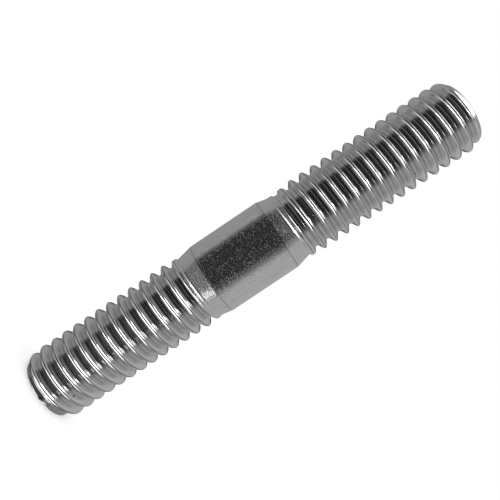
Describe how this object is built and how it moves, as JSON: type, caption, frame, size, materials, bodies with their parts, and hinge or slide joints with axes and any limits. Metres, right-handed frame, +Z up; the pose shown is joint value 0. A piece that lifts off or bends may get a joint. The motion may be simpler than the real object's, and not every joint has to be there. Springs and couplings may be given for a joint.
{
  "type": "double ended stud",
  "caption": "Short steel stud with a right-hand rolled thread on each end, a plain shank between them and chamfered ends.",
  "frame": {"origin": "centre of the lower end face, the end with the shorter thread", "axes": "+Z up the stud's axis from the shorter thread to the longer one; +X and +Y across it"},
  "size_m": [0.0058, 0.0058, 0.0378],
  "materials": {
    "zinc_steel": "bright zinc plating on rolled steel"
  },
  "bodies": {
    "root": {"stud": "zinc_steel"}
  },
  "joints": []
}
